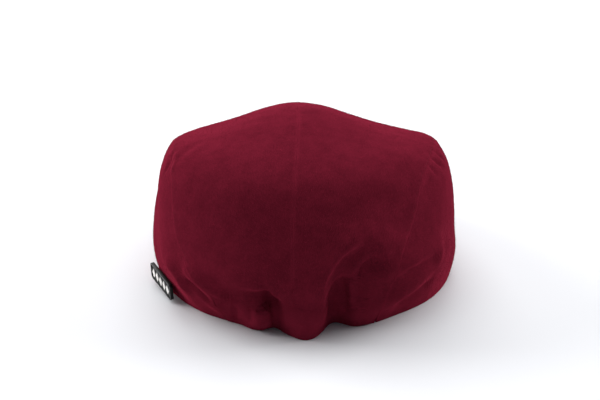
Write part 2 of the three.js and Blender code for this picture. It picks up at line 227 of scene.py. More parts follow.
creases = {
    "right crest": {
        "path": ((352, 244), (341, 256), (334, 271), (329, 286), (324, 300)),
        "left": 7, "right": 8, "lift": -1.8,
    },
    "drape head": {
        "path": ((378, 228), (365, 236), (352, 245), (343, 254)),
        "left": 5, "right": 6, "lift": 1.0,
    },
    "right drape slope": {
        "path": ((356, 233), (340, 244), (329, 257), (322, 272)),
        "left": 5, "right": 8, "lift": -1.0,
    },
    "right crest hollow": {
        "path": ((370, 244), (355, 252), (345, 262), (338, 274), (333, 286), (330, 297), (328, 309)),
        "left": 7, "right": 5.5, "lift": -2.2,
    },
    "fan crest": {
        "path": ((393, 242), (379, 247), (367, 254), (357, 262), (350, 270)),
        "left": 6, "right": 6, "lift": 0.8,
    },
    "lobe recess": {
        "path": ((390, 254), (377, 263), (367, 274), (361, 288), (358, 304), (357, 316)),
        "left": 12, "right": 10, "lift": -5.6,
    },
    "fan shadow": {
        "path": ((384, 261), (372, 267), (363, 276), (358, 289)),
        "left": 5, "right": 4.5, "lift": -2.4,
    },
    "pocket": {
        "path": ((347, 276), (342, 287), (338, 300), (336, 314)),
        "left": 7, "right": 6, "lift": -4.4,
    },
    "first gather": {
        "path": ((346, 282), (347, 295), (349, 310)),
        "left": 2.8, "right": 2.8, "lift": 2.6,
    },
    "second gather": {
        "path": ((336, 290), (338, 302), (341, 315)),
        "left": 2.8, "right": 2.6, "lift": 2.2,
    },
    "left lip": {
        "path": ((240, 283), (255, 286), (268, 289), (285, 291)),
        "left": 8, "right": 6, "lift": -0.6,
    },
    "left hollow": {
        "path": ((246, 287), (256, 288), (264, 291), (271, 299), (275, 312)),
        "left": 4.5, "right": 4.0, "lift": -2.7,
    },
    "lobe side": {
        "path": ((263, 303), (265, 314), (266, 328)),
        "left": 6, "right": 7, "lift": 5.4,
    },
    "lobe crease": {
        "path": ((236, 304), (235, 313), (234, 320)),
        "left": 2.4, "right": 2.4, "lift": -1.2,
    },
    "second lobe crease": {
        "path": ((250, 303), (251, 311), (252, 322)),
        "left": 2.4, "right": 2.4, "lift": -1.0,
    },
    "badge drape": {
        "path": ((165, 257), (175, 269), (183, 282), (191, 295)),
        "left": 5, "right": 6, "lift": 3.0,
    },
    "badge valley": {
        "path": ((184, 276), (193, 287), (203, 297), (213, 308)),
        "left": 3.5, "right": 3.5, "lift": -2.2,
    },
    "left overhang": {
        "path": ((181, 264), (197, 279), (209, 288), (221, 295), (236, 300)),
        "left": 7, "right": 5, "lift": 2.2,
    },
    "right flank fold": {
        "path": ((396, 268), (410, 264), (422, 257), (433, 247), (444, 235)),
        "left": 7, "right": 7, "lift": 1.4,
    },
    "right flank hollow": {
        "path": ((397, 276), (412, 272), (426, 264), (441, 250)),
        "left": 5, "right": 6, "lift": -3.4,
    },
    "right flank sag": {
        "path": ((386, 293), (403, 284), (417, 275), (432, 262), (446, 247)),
        "left": 7, "right": 8, "lift": 2.2,
    },
    "right flank drop": {
        "path": ((392, 307), (407, 300), (421, 290), (436, 277)),
        "left": 7, "right": 7, "lift": -1.8,
    },
    "upper shoulder pleat": {
        "path": ((431, 150), (439, 155), (447, 161)),
        "left": 1.7, "right": 1.7, "lift": -1.1,
    },
    "shoulder pleat": {
        "path": ((428, 156), (436, 161), (445, 168)),
        "left": 1.7, "right": 1.7, "lift": -1.3,
    },
    "lower shoulder pleat": {
        "path": ((426, 163), (432, 168), (439, 176)),
        "left": 1.7, "right": 1.7, "lift": -1.0,
    },
    "left shoulder pleat": {
        "path": ((173, 150), (169, 161), (163, 176)),
        "left": 1.9, "right": 1.9, "lift": -1.3,
    },
    "left shoulder ridge": {
        "path": ((177, 150), (174, 162), (171, 177)),
        "left": 2.0, "right": 2.0, "lift": 0.9,
    },
    "left top crease": {
        "path": ((206, 138), (190, 147), (177, 157), (168, 176)),
        "left": 5, "right": 5, "lift": -0.8,
    },
}
creaseLine = {
    "perSpan": 12,  # points drawn between two of the pixels
    "step": 2.0,  # mm between the points that are kept
    "fade": 0.28,  # share of a crease over which each end fades
    "reach": 3,  # widths, past which a crease isn't felt
}


def smoothLine(spots):  # a Catmull-Rom line through the spots, evenly spaced
    ends = np.vstack([2 * spots[0] - spots[1], spots, 2 * spots[-1] - spots[-2]])
    line = []
    for a, b, c, d in zip(ends, ends[1:], ends[2:], ends[3:]):
        for t in np.linspace(0, 1, creaseLine["perSpan"], endpoint=False):
            line.append(0.5 * (2 * b + (c - a) * t + (2 * a - 5 * b + 4 * c - d) * t**2
                               + (3 * b - a - 3 * c + d) * t**3))
    return evenLine(np.vstack([line, spots[-1:]]), creaseLine["step"] * mm)


def spotOnCloth(pixel, tree):  # where a pixel of the photograph lies on the crown
    wide, tall = photoView["size"]
    scale = photoView["sensor"] / wide
    ray = Vector(((pixel[0] - wide / 2) * scale, (tall / 2 - pixel[1]) * scale, -photoView["lens"]))
    return tree.ray_cast(camera.location, camera.matrix_world.to_3x3() @ ray.normalized())[0]


def layCreases(tree):
    for crease in creases.values():
        spots = [spotOnCloth(pixel, tree) for pixel in crease["path"]]
        crease["line"] = smoothLine(np.array([spot for spot in spots if spot]))


def creaseHeight(points, normals, crease):
    line = crease["line"]
    height = np.zeros(len(points))
    reach = creaseLine["reach"] * max(crease["left"], crease["right"]) * mm
    near = ((points > line.min(0) - reach) & (points < line.max(0) + reach)).all(1)
    if not near.any():
        return height
    offset = points[near][:, None] - line[None]
    gaps = np.linalg.norm(offset, axis=2)
    closest = gaps.argmin(1)
    rows = np.arange(len(closest))
    toRight = np.cross(np.gradient(line, axis=0)[closest], normals[near])
    side = dotRows(offset[rows, closest], toRight)
    width = np.where(side > 0, crease["right"], crease["left"]) * mm
    along = closest / (len(line) - 1)
    ends = smoothStep(0, creaseLine["fade"], along) * smoothStep(0, creaseLine["fade"], 1 - along)
    height[near] = crease["lift"] * mm * ends * np.exp(-((gaps[rows, closest] / width) ** 2))
    return height


# Cloth panels: the outer face of each CAD wall is refined, creased, seamed and given its thickness

clothPanels = {
    "thickness": 2.0,  # mm
    "middle": (0, 27, 30),  # mm, a point inside the crown
    "flatLimit": 40,  # degrees between two faces of one side of the wall
    "quadFold": 70,  # degrees, the most that two triangles of a quad fold
    "quadSkew": 75,  # degrees, the most that its corners are off square
    "crowded": 0.4,  # mm, points closer than this lie at a collapsed corner
    "cornerMerge": 1.4,  # mm, less than the wall
    "levels": 2,  # of subdivision
    "fineZones": (  # mm, the lowest and highest corners of the boxes that get a finer mesh
        ((-130, 62, 0), (130, 140, 72)),
        ((-130, 0, 68), (-80, 75, 112)),
        ((80, 0, 68), (130, 75, 112)),
    ),
    "unevenness": ((22, 0.45), (9, 0.16)),  # mm, length and height of soft waves
    "seamMeet": 1.6,  # mm, edges nearer than this are sewn together
    "seamClose": 0.165,  # mm that each panel reaches into the gap of a seam
    "sharp": 60,  # degrees, edges of the wall that are turned
    "edgeRound": 0.12,  # mm, radius of a turned edge
    "pointed": 60,  # degrees, a panel's end that is narrower stays square
    "tipClear": 8,  # mm round a pointed end
    "tableGap": 0.02,  # mm, the least height above the table
    "smooth": 50,  # degrees
    "panels": {  # "lowSeams" is how much a panel's seams show in the gathers
        "top_panel_left": {"held": "gathered", "lowSeams": 0.0},
        "top_panel_right": {"held": "gathered", "lowSeams": 0.0},
        "side_panel_left": {"held": "draped", "lowSeams": 1.0},
        "side_panel_right": {"held": "draped", "lowSeams": 1.0},
        "back_band": {"held": "gathered", "lowSeams": 0.0},
    },
}
seamEdges = {
    "rollWidth": 2.4,  # mm over which an edge turns in
    "rollDepth": 0.06,  # mm
    "weltAt": 3.4,  # mm from the seam, where the allowance lies under the cloth
    "weltWidth": 1.6,  # mm
    "weltHeight": 0.08,  # mm
    "puckerLength": 8.5,  # mm along the seam
    "puckerReach": 5,  # mm into the cloth
    "puckerStart": (0.3, 2),  # mm from the seam, where the puckers set in
    "puckerHeight": 0.12,  # mm
    "swayTurn": 2.4,  # radians that the puckers drift
    "swayLength": 23,  # mm
    "rubbed": 0.8,  # lighter colour along the seams: rubbed nap, and a painted highlight on the seam's edge
    "rubbedWidth": 1.2,  # mm
    "hemPaintedLight": 2.0,  # painted light down at the hem, lightening the shade near the table
    "hemReach": 30,  # mm above the table
}
gathers = {  # mm, the back part where the seams hardly show
    "behind": 78,
    "above": 2,
    "below": 38,
    "fade": 8,
    "share": 0.3,  # of the seams' height that is left there
}


def mergeCorners(piece):  # the crowded points of a collapsed corner become one sharp point
    editPiece(piece, "VERT")
    leaveEdit()
    corners = piece.data.vertices
    for edge in piece.data.edges:
        a, b = (corners[index] for index in edge.vertices)
        if (a.co - b.co).length < clothPanels["crowded"] * mm:
            a.select = b.select = True
    bpy.ops.object.mode_set(mode="EDIT")
    bpy.ops.mesh.remove_doubles(threshold=clothPanels["cornerMerge"] * mm)
    bpy.ops.transform.vert_crease(value=1)
    leaveEdit()


def outerFace(nodeName):
    piece = mergedCopy(nodeName, nodeName + "_cloth")
    mergeCorners(piece)
    middle = Vector(clothPanels["middle"]) * mm
    outwards = [face.normal.dot((face.center - middle).normalized()) for face in piece.data.polygons]
    first = int(np.argmax(outwards))
    pickFaces(piece, lambda face: face.index == first)
    bpy.ops.mesh.faces_select_linked_flat(sharpness=math.radians(clothPanels["flatLimit"]))
    bpy.ops.mesh.select_all(action="INVERT")
    bpy.ops.mesh.delete(type="FACE")
    bpy.ops.mesh.select_all(action="SELECT")
    bpy.ops.mesh.tris_convert_to_quads(face_threshold=math.radians(clothPanels["quadFold"]),
                                       shape_threshold=math.radians(clothPanels["quadSkew"]))
    bpy.ops.uv.unwrap(method="ANGLE_BASED", margin=0)
    leaveEdit()
    return piece


def layGrain(piece):  # the flat cut in metres, its length along V
    layer = piece.data.uv_layers.active
    layer.name = "cut"
    flat = np.empty(len(layer.data) * 2)
    layer.data.foreach_get("uv", flat)
    flat = flat.reshape(-1, 2)
    flatArea = 0
    for face in piece.data.polygons:
        x, y = flat[face.loop_start:face.loop_start + face.loop_total].T
        flatArea += abs(np.dot(x, np.roll(y, -1)) - np.dot(y, np.roll(x, -1))) / 2
    area = sum(face.area for face in piece.data.polygons)
    flat = (flat - flat.mean(0)) * math.sqrt(area / flatArea)
    grain = np.linalg.eigh(np.cov(flat.T))[1]  # the last column is the long way
    flat = flat @ grain
    layer.data.foreach_set("uv", flat.ravel())
    return np.ptp(flat, axis=0), area


def openEdge(piece):  # the points round the open edge, in order, and the ways into the cloth
    mesh = piece.data
    loopEdges = np.empty(len(mesh.loops), int)
    mesh.loops.foreach_get("edge_index", loopEdges)
    count = np.bincount(loopEdges, minlength=len(mesh.edges))
    neighbours, inside = {}, {}
    for face in mesh.polygons:
        for edge in loopEdges[face.loop_start:face.loop_start + face.loop_total]:
            if count[edge] == 1:
                a, b = mesh.edges[edge].vertices
                middle = (mesh.vertices[a].co + mesh.vertices[b].co) / 2
                for one, other in ((a, b), (b, a)):
                    neighbours.setdefault(one, []).append(other)
                    inside[one] = inside.get(one, Vector()) + (face.center - middle).normalized()
    start = min(neighbours)
    order = [start, neighbours[start][0]]
    while True:
        following = [index for index in neighbours[order[-1]] if index != order[-2]]
        if not following or following[0] == start:
            break
        order.append(following[0])
    line = readPoints(piece)[order]
    run = unitRows(np.roll(line, -1, axis=0) - np.roll(line, 1, axis=0))
    into = np.array([inside[index] for index in order])
    into -= dotRows(into, run)[:, None] * run
    return order, line, unitRows(into)


def pointedEnds(line):  # the narrow corners of an edge line
    before = unitRows(np.roll(line, 2, axis=0) - line)
    after = unitRows(np.roll(line, -2, axis=0) - line)
    return line[dotRows(before, after) > math.cos(math.radians(clothPanels["pointed"]))]


def refine(piece):
    levels = clothPanels["levels"]
    applyModifier(piece, "SUBSURF", levels=levels, render_levels=levels, boundary_smooth="PRESERVE_CORNERS")
    for low, high in clothPanels["fineZones"]:
        pickFaces(piece, lambda face: all(a * mm < c < b * mm for a, c, b in zip(low, face.center, high)))
        bpy.ops.mesh.subdivide(number_cuts=1)
        leaveEdit()


def sharedNormals(pieces):  # the normals of all panels, agreeing where two of them meet
    normals = {name: readNormals(piece) for name, piece in pieces.items()}
    edges = {name: openEdge(piece)[:2] for name, piece in pieces.items()}
    finders = {name: finderOf(line) for name, (order, line) in edges.items()}
    merged = {name: found.copy() for name, found in normals.items()}
    for name, (order, line) in edges.items():
        for other in edges:
            if other == name:
                continue
            for index, point in zip(order, line):
                _, match, gap = finders[other].find(point)
                if gap < clothPanels["seamMeet"] * mm:
                    merged[name][index] += normals[other][edges[other][0][match]]
        merged[name] = unitRows(merged[name])
    return merged


def waves(points):
    height = np.zeros(len(points))
    for length, lift in clothPanels["unevenness"]:
        scale = 1 / (length * mm)
        height += lift * mm * np.array([noise.noise(Vector(point) * scale) for point in points])
    return height


def gatheredShare(points):  # 1 in the gathers, fading to 0 round them
    behind, below, fade = gathers["behind"], gathers["below"], gathers["fade"]
    share = smoothStep(behind - fade, behind, points[:, 1] / mm)
    return share * (1 - smoothStep(below, below + fade, points[:, 2] / mm))


def seamHeight(gap, along):  # gap is from the seam and along is on it, in mm
    roll = 1 - smoothStep(0, seamEdges["rollWidth"], gap)
    welt = np.exp(-(((gap - seamEdges["weltAt"]) / seamEdges["weltWidth"]) ** 2))
    sway = seamEdges["swayTurn"] * np.sin(along / seamEdges["swayLength"])
    pucker = np.sin(2 * math.pi * along / seamEdges["puckerLength"] + sway)
    pucker *= np.exp(-((gap / seamEdges["puckerReach"]) ** 2)) * smoothStep(*seamEdges["puckerStart"], gap)
    height = seamEdges["weltHeight"] * welt - seamEdges["rollDepth"] * roll
    return (height + seamEdges["puckerHeight"] * pucker) * mm


def rubbedNapAndPaintedLight(points, gap, hidden):  # how much lighter the colour is: rubbed nap and a painted highlight at the seams, painted light at the hem
    # at the seams, rubbed nap and a painted highlight on the seam's edge
    seam = seamEdges["rubbed"] * np.exp(-((gap / seamEdges["rubbedWidth"]) ** 2)) * (1 - hidden)
    # the hem is painted lighter, standing in for bounce light that the crown's shadow keeps off it
    hem = seamEdges["hemPaintedLight"] * (1 - smoothStep(0, seamEdges["hemReach"], points[:, 2] / mm))
    return seam + hem


def shapeCloth(piece, normals, lowSeams):
    points = readPoints(piece)
    order, line, into = openEdge(piece)
    finder = finderOf(line)
    found = [finder.find(point) for point in points]
    gap = np.array([hit[2] for hit in found]) / mm
    along = runAlong(line)[[hit[1] for hit in found]] / mm
    calm = gatheredShare(points)
    # the mask holds rubbed nap and painted light at the seams and the hem
    writeMask(piece, "napAndPaintedLightTone", rubbedNapAndPaintedLight(points, gap, calm * (1 - lowSeams)))
    height = waves(points) + seamHeight(gap, along) * (1 - (1 - gathers["share"]) * calm)
    for crease in creases.values():
        height += creaseHeight(points, normals, crease)
    points += normals * height[:, None]
    points[order] -= into * clothPanels["seamClose"] * mm
    writePoints(piece, points)


def staysSquare(spot, tips):  # the edge isn't turned in the gathers and at pointed ends
    if spot.y > gathers["behind"] * mm and gathers["above"] * mm < spot.z < gathers["below"] * mm:
        return True
    return any((spot - Vector(tip)).length < clothPanels["tipClear"] * mm for tip in tips)


def turnEdges(piece, tips):
    editPiece(piece, "EDGE")
    bpy.ops.mesh.edges_select_sharp(sharpness=math.radians(clothPanels["sharp"]))
    leaveEdit()
    corners = piece.data.vertices
    for edge in piece.data.edges:
        if edge.select:
            a, b = (corners[index].co for index in edge.vertices)
            edge.select = not staysSquare((a + b) / 2, tips)
    bpy.ops.object.mode_set(mode="EDIT")
    bpy.ops.mesh.bevel(offset=clothPanels["edgeRound"] * mm, segments=2, affect="EDGES", clamp_overlap=False)
    leaveEdit()


def giveThickness(piece, tips):
    applyModifier(piece, "SOLIDIFY", thickness=clothPanels["thickness"] * mm, offset=-1,
                  use_even_offset=False)
    turnEdges(piece, tips)
    points = readPoints(piece)
    points[:, 2] = np.maximum(points[:, 2], clothPanels["tableGap"] * mm)
    writePoints(piece, points)
    smoothByAngle(piece, clothPanels["smooth"])


def makeCloth():  # single surfaces, which get their thickness after the seams and the nap
    panels = clothPanels["panels"]
    layCreases(treeOf([frame["nodes"][name] for name in panels]))
    made = {}
    for name, panel in panels.items():
        piece = outerFace(name)
        panel["flat"], panel["area"] = layGrain(piece)
        refine(piece)
        made[name] = piece
        print(name, "laid out", np.round(panel["flat"] / mm), "mm,", len(piece.data.polygons), "faces")
    normals = sharedNormals(made)
    for name, piece in made.items():
        shapeCloth(piece, normals[name], panels[name]["lowSeams"])
        panels[name]["edge"] = openEdge(piece)
    return made


cloth = makeCloth()
clothTree = treeOf(cloth.values())


# Seams: the turned-in allowance that closes each seam from inside, and the topstitching beside it

seams = {
    "centre": {"panel": "top_panel_left", "meets": "top_panel_right"},
    "side_left": {"panel": "top_panel_left", "meets": "side_panel_left", "stitched": True},
    "side_right": {"panel": "top_panel_right", "meets": "side_panel_right", "stitched": True},
    "band_left": {"panel": "top_panel_left", "meets": "back_band"},
    "band_right": {"panel": "top_panel_right", "meets": "back_band"},
    "band_end_left": {"panel": "back_band", "meets": "side_panel_left"},
    "band_end_right": {"panel": "back_band", "meets": "side_panel_right"},
}
allowance = {
    "width": 11,  # mm
    "under": 0.35,  # mm below the cloth
    "thickness": 0.9,  # mm
    "across": 5,  # points over the width
    "smooth": 50,  # degrees
}
topstitch = {
    "inset": 2.6,  # mm from the seam
    "sunk": 0.06,  # mm into the cloth
    "pitch": 3.1,  # mm
    "length": 2.3,  # mm
    "endRadius": 0.065,  # mm
    "sides": 6,
    "steps": ((1 / 6, 1.7), (1 / 3, 1.18), (1 / 3, 1 / 1.18), (1 / 6, 1 / 1.7)),  # of the length, swell
    "guideStep": 1.5,  # mm
    "freeEnds": 2,  # points of the seam left bare at each end
}


def seamRun(seam):  # the longest stretch of one panel's edge that runs along the other's
    order, line, into = clothPanels["panels"][seam["panel"]]["edge"]
    finder = finderOf(clothPanels["panels"][seam["meets"]]["edge"][1])
    close = [finder.find(point)[2] < clothPanels["seamMeet"] * mm for point in line]
    start = close.index(False)
    best, current = [], []
    for step in range(len(close)):
        index = (start + step) % len(close)
        current = current + [index] if close[index] else []
        best = current if len(current) > len(best) else best
    return line[best], into[best]


def onCloth(points, depth):  # the points set on the cloth, then moved inwards by a depth
    found = [clothTree.find_nearest(Vector(point)) for point in points]
    return np.array([spot - normal * depth for spot, normal, _, _ in found])


def makeAllowance(name, line, into):
    count = allowance["across"]
    marks = np.linspace(0, len(line) - 1, max(4, round(len(line) / 2))).round().astype(int)
    across = np.linspace(-0.5, 0.5, count) * allowance["width"] * mm
    depth = (clothPanels["thickness"] + allowance["under"]) * mm
    rows = [onCloth(line[mark] + np.outer(across, into[mark]), depth) for mark in marks]
    grid = np.arange(len(marks) * count).reshape(-1, count)
    faces = np.stack([grid[:-1, :-1], grid[:-1, 1:], grid[1:, 1:], grid[1:, :-1]], axis=-1)
    mesh = bpy.data.meshes.new(name)
    mesh.from_pydata(np.vstack(rows).tolist(), [], faces.reshape(-1, 4).tolist())
    piece = addObject(name, mesh)
    editPiece(piece, action="SELECT")
    bpy.ops.uv.unwrap(method="ANGLE_BASED", margin=0)
    leaveEdit()
    outward = clothTree.find_nearest(mesh.polygons[0].center)[1]
    if mesh.polygons[0].normal.dot(outward) < 0:
        editPiece(piece, action="SELECT")
        bpy.ops.mesh.flip_normals()
        leaveEdit()
    layGrain(piece)
    applyModifier(piece, "SOLIDIFY", thickness=allowance["thickness"] * mm, offset=-1)
    smoothByAngle(piece, allowance["smooth"])
    return piece, runAlong(line)[-1]


def makeStitch():  # one stitch along X, fuller in the middle
    deselectAll()
    length = topstitch["length"] * mm
    bpy.ops.mesh.primitive_circle_add(vertices=topstitch["sides"], radius=topstitch["endRadius"] * mm,
                                      fill_type="NGON", location=(-length / 2, 0, 0),
                                      rotation=(0, math.pi / 2, 0))
    piece = bpy.context.object
    bpy.ops.object.transform_apply(location=True, rotation=True, scale=True)
    editPiece(piece, action="SELECT")
    for share, swell in topstitch["steps"]:
        bpy.ops.mesh.extrude_region_move(TRANSFORM_OT_translate={"value": (length * share, 0, 0)})
        bpy.ops.transform.resize(value=(1, swell, swell))
    bpy.ops.mesh.select_all(action="SELECT")
    bpy.ops.mesh.normals_make_consistent(inside=False)
    leaveEdit()
    return piece


def makeStitchRow(name, line, into):
    bare = topstitch["freeEnds"]
    spots = onCloth(line + into * topstitch["inset"] * mm, topstitch["sunk"] * mm)
    spots = evenLine(spots[bare:-bare], topstitch["guideStep"] * mm)
    path = bpy.data.curves.new(name + "_path", "CURVE")
    path.dimensions = "3D"
    spline = path.splines.new("POLY")
    spline.points.add(len(spots) - 1)
    spline.points.foreach_set("co", np.hstack([spots, np.ones((len(spots), 1))]).ravel())
    guide = addObject(name + "_path", path)
    piece = makeStitch()
    piece.name = name
    piece.data.name = name
    applyModifier(piece, "ARRAY", fit_type="FIT_CURVE", curve=guide, use_relative_offset=False,
                  use_constant_offset=True, constant_offset_displace=(topstitch["pitch"] * mm, 0, 0))
    applyModifier(piece, "CURVE", object=guide, deform_axis="POS_X")
    bpy.data.objects.remove(guide)
    makeActive(piece)
    bpy.ops.object.shade_smooth()
    return piece


allowances, stitchRows = {}, []
for name, seam in seams.items():
    line, into = seamRun(seam)
    allowances[name] = makeAllowance("seam_allowance_" + name, line, into)
    if seam.get("stitched"):
        stitchRows.append(makeStitchRow("topstitch_" + name, line, into))
    print("seam", name, "closed over", len(line), "points")


# Nap: short fibres standing off the brushed cloth, one modelled and many copied

napFibres = {
    "density": 0.45,  # fibres to a square mm
    "radius": 0.04,  # mm
    "length": (0.7, 1.8),  # mm
    "lean": (40, 80),  # degrees from upright
    "sides": 3,
    "seed": 11,
}


def makeFibre():  # upright, with a length of 1
    deselectAll()
    bpy.ops.mesh.primitive_cone_add(vertices=napFibres["sides"], radius1=napFibres["radius"] * mm, radius2=0,
                                    depth=1, location=(0, 0, 0.5))
    bpy.ops.object.transform_apply(location=True, rotation=True, scale=True)
    return bpy.context.object


def standingSpots(piece, chance):  # spots spread evenly over a surface, and their normals
    mesh = piece.data
    mesh.calc_loop_triangles()
    corners = np.array([triangle.vertices for triangle in mesh.loop_triangles])
    sizes = np.array([triangle.area for triangle in mesh.loop_triangles])
    count = int(sizes.sum() / mm**2 * napFibres["density"])
    picked = corners[chance.choice(len(corners), count, p=sizes / sizes.sum())]
    shares = chance.dirichlet((1, 1, 1), count)[:, :, None]
    normals = (readNormals(piece)[picked] * shares).sum(1)
    return (readPoints(piece)[picked] * shares).sum(1), unitRows(normals)


def makeNap(name, piece, fibre, chance):
    spots, normals = standingSpots(piece, chance)
    count = len(spots)
    side = unitRows(np.cross(normals, chance.normal(size=(count, 3))))
    lean = np.radians(chance.uniform(*napFibres["lean"], count))[:, None]
    along = normals * np.cos(lean) + side * np.sin(lean)
    across = unitRows(np.cross(along, normals))
    third = np.cross(along, across)
    length = chance.uniform(*napFibres["length"], (count, 1)) * mm
    shape = readPoints(fibre)
    stamped = np.stack([spots + across * x + third * y + along * length * z for x, y, z in shape], axis=1)
    stamped[:, :, 2] = np.maximum(stamped[:, :, 2], clothPanels["tableGap"] * mm)
    first = np.arange(count)[:, None] * len(shape)
    faces = np.concatenate([first + tuple(face.vertices) for face in fibre.data.polygons])
    mesh = bpy.data.meshes.new("nap_" + name)
    mesh.from_pydata(stamped.reshape(-1, 3), [], faces)
    return addObject("nap_" + name, mesh)


fibre = makeFibre()
chance = np.random.default_rng(napFibres["seed"])
naps = [makeNap(name, piece, fibre, chance) for name, piece in cloth.items()]
bpy.data.objects.remove(fibre)
print("nap raised,", sum(len(nap.data.polygons) for nap in naps), "faces")

for name, piece in cloth.items():
    giveThickness(piece, pointedEnds(clothPanels["panels"][name]["edge"][1]))
print("cloth thickened")


# Peak: the covered board, rounded by subdivision

peakShape = {
    "quadFold": 40,  # degrees
    "quadSkew": 60,  # degrees
    "cutAngle": 60,  # degrees between two pieces of the cover's flat cut
    "cutMargin": 0.02,
    "levels": 2,
}


def makePeak():
    piece = mergedCopy("peak", "peak_cover")
    editPiece(piece, action="SELECT")
    bpy.ops.mesh.tris_convert_to_quads(face_threshold=math.radians(peakShape["quadFold"]),
                                       shape_threshold=math.radians(peakShape["quadSkew"]))
    bpy.ops.uv.smart_project(angle_limit=math.radians(peakShape["cutAngle"]),
                             island_margin=peakShape["cutMargin"])
    leaveEdit()
    piece.data.uv_layers.active.name = "cut"
    applyModifier(piece, "SUBSURF", levels=peakShape["levels"], render_levels=peakShape["levels"])
    makeActive(piece)
    bpy.ops.object.shade_smooth()
    return piece


peak = makePeak()
print("peak covered,", len(peak.data.polygons), "faces")


# Badge: the CAD plaque with softened edges

badgeShape = {
    "edgeRound": 0.22,  # mm
    "sharp": 30,  # degrees
    "relief": (0.7, 0.15),  # mm below the top, where the raised tone starts and is full
    "rim": 2.0,  # mm that stay dark all round
    "smooth": 40,  # degrees
}


def makeBadge():
    piece = mergedCopy("badge", "badge_plaque")
    applyModifier(piece, "BEVEL", width=badgeShape["edgeRound"] * mm, segments=2, limit_method="ANGLE",
                  angle_limit=math.radians(badgeShape["sharp"]))
    points = readPoints(piece)
    middle = points.mean(0)
    ways = np.linalg.eigh(np.cov((points - middle).T))[1]  # the thin way comes first
    facing = ways[:, 0] * np.sign(ways[:, 0] @ (middle - np.array(clothPanels["middle"]) * mm))
    rise = (points - middle) @ facing / mm
    start, full = (rise.max() - below for below in badgeShape["relief"])
    raised = smoothStep(start, full, rise)
    for way in ways.T[1:]:
        reach = np.abs((points - middle) @ way)
        raised *= reach < reach.max() - badgeShape["rim"] * mm
    writeMask(piece, "relief", raised)
    smoothByAngle(piece, badgeShape["smooth"])
    return piece


badge = makeBadge()
print("badge softened,", len(badge.data.polygons), "faces")


# Small helpers for materials

def newMaterial(name):
    material = bpy.data.materials.new(name)
    material.use_nodes = True
    return material, material.node_tree, material.node_tree.nodes["Principled BSDF"]


def setInputs(tree, node, inputs):  # links a socket, or sets a plain value
    for key, value in inputs.items():
        if isinstance(value, bpy.types.NodeSocket):
            tree.links.new(value, node.inputs[key])
        else:
            node.inputs[key].default_value = value


def addNode(tree, kind, inputs=None, **settings):
    node = tree.nodes.new(kind)
    for key, value in settings.items():
        setattr(node, key, value)
    setInputs(tree, node, inputs or {})
    return node


def mathNode(tree, operation, *values, clamp=False):
    node = addNode(tree, "ShaderNodeMath", dict(enumerate(values)), operation=operation, use_clamp=clamp)
    return node.outputs[0]


def blendNode(tree, share, low, high):
    return addNode(tree, "ShaderNodeMix", {0: share, 6: low, 7: high}, data_type="RGBA").outputs[2]


def noiseNode(tree, vector, scale, detail, **inputs):
    values = {"Vector": vector, "Scale": scale, "Detail": detail, **inputs}
    return addNode(tree, "ShaderNodeTexNoise", values).outputs["Fac"]


def speckle(tree, scale, detail):  # a noise on the piece's own place
    return noiseNode(tree, addNode(tree, "ShaderNodeTexCoord").outputs["Object"], scale, detail)


def dress(pieces, material):
    for piece in pieces:
        piece.data.materials.append(material)


# Wool: a brushed twill, lighter where it is rubbed and where light is painted in at the seams and the hem

woolWeave = {
    "deep": (0.048, 0.0033, 0.0078, 1),
    "nap": (0.166, 0.0111, 0.026, 1),
    "twill": 1.1,  # mm between two ribs
    "twillTurn": 38,  # degrees
    "ribWave": 0.314,  # the scale at which a wave texture has one rib to a unit
    "ribBend": {"Distortion": 1.6, "Detail": 2.0, "Detail Scale": 3.0},
    "fibre": (0.5, 1.9),  # mm, across and along the nap
    "fibreDetail": 3.0,
    "fibreRough": {"Roughness": 0.65, "Distortion": 0.6},
    "mottle": 9,  # mm
    "mottleDetail": 4.0,
    "mottleRough": {"Roughness": 0.6},
    "fibreShare": 0.95,
    "ribShare": 0.08,
    "mottleShare": 0.55,
    "seamShare": 0.25,
    "darker": 0.31,
    "rough": (-0.2, 0.98),  # by the fibres, and without them
    "fibreHeight": 0.8,
    "bump": 0.5,
    "bumpDepth": 0.35,  # mm
    "sheen": 0.23,
    "sheenRough": 0.3,
    "sheenTint": (1.0, 0.08, 0.17, 1),
}


